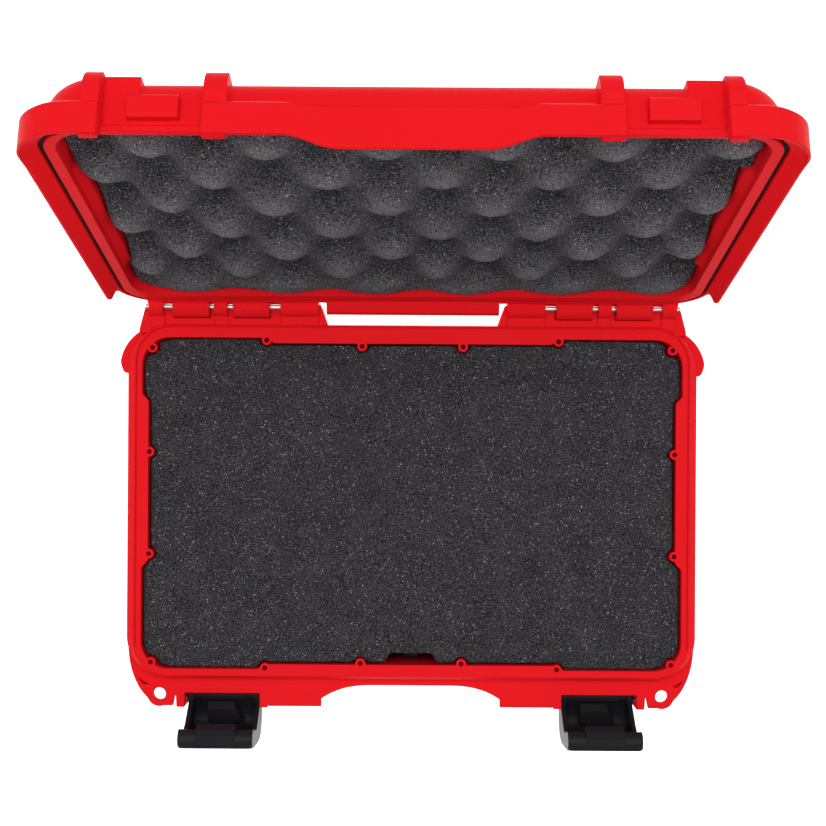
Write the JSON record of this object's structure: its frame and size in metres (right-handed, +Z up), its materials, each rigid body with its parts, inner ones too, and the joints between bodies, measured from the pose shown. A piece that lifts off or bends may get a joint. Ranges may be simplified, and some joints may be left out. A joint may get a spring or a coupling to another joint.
{
  "type": "otoscope carry case",
  "caption": "Moulded hard carry case standing open: foam-filled tub, hinged lid with egg-crate foam, lever latches, folding handle and pressure valve.",
  "frame": {"origin": "middle of the flat underside of the base", "axes": "+X right, +Y towards the hinge, +Z up; the latches and handle face -Y"},
  "size_m": [0.3204, 0.318, 0.2805],
  "materials": {
    "red_shell": "fine moulded satin",
    "black_nylon": "satin moulded",
    "charcoal_foam": "open-cell foam",
    "black_rubber": "matte",
    "steel_pin": "drawn"
  },
  "bodies": {
    "base": {"base_shell": "red_shell", "base_foam": "charcoal_foam", "base_foam_pad": "charcoal_foam", "valve_body": "black_nylon", "valve_seal": "black_rubber", "valve_membrane": "black_rubber", "valve_nut": "black_nylon", "hinge_pin_left": "steel_pin", "hinge_pin_right": "steel_pin", "latch_pin_left": "steel_pin", "latch_pin_right": "steel_pin", "handle_pin_left": "steel_pin", "handle_pin_right": "steel_pin"},
    "lid": {"lid_shell": "red_shell", "lid_gasket": "black_rubber", "lid_foam": "charcoal_foam"},
    "handle": {"handle_frame": "black_nylon", "handle_grip": "black_rubber"},
    "latch_left": {"latch_lever_left": "black_nylon"},
    "latch_right": {"latch_lever_right": "black_nylon"},
    "slide_left": {"lock_slide_left": "black_nylon"},
    "slide_right": {"lock_slide_right": "black_nylon"}
  },
  "joints": [
    {"name": "lid_hinge", "type": "hinge", "parent": "base", "child": "lid", "pos_m": [0, 0.107, 0.071], "axis": [1, 0, 0], "range_deg": [0, 105.5]},
    {"name": "handle_fold", "type": "hinge", "parent": "base", "child": "handle", "pos_m": [0, -0.099, 0.0515], "axis": [1, 0, 0], "range_deg": [-95, 0]},
    {"name": "latch_left_swing", "type": "hinge", "parent": "base", "child": "latch_left", "pos_m": [-0.1031, -0.1065, 0.051], "axis": [1, 0, 0], "range_deg": [-26, 91]},
    {"name": "lock_left_slide", "type": "slide", "parent": "latch_left", "child": "slide_left", "axis": [1, 0, 0], "range_m": [0, 0.004]},
    {"name": "latch_right_swing", "type": "hinge", "parent": "base", "child": "latch_right", "pos_m": [0.1031, -0.1065, 0.051], "axis": [1, 0, 0], "range_deg": [-26, 91]},
    {"name": "lock_right_slide", "type": "slide", "parent": "latch_right", "child": "slide_right", "axis": [1, 0, 0], "range_m": [0, 0.004]}
  ]
}
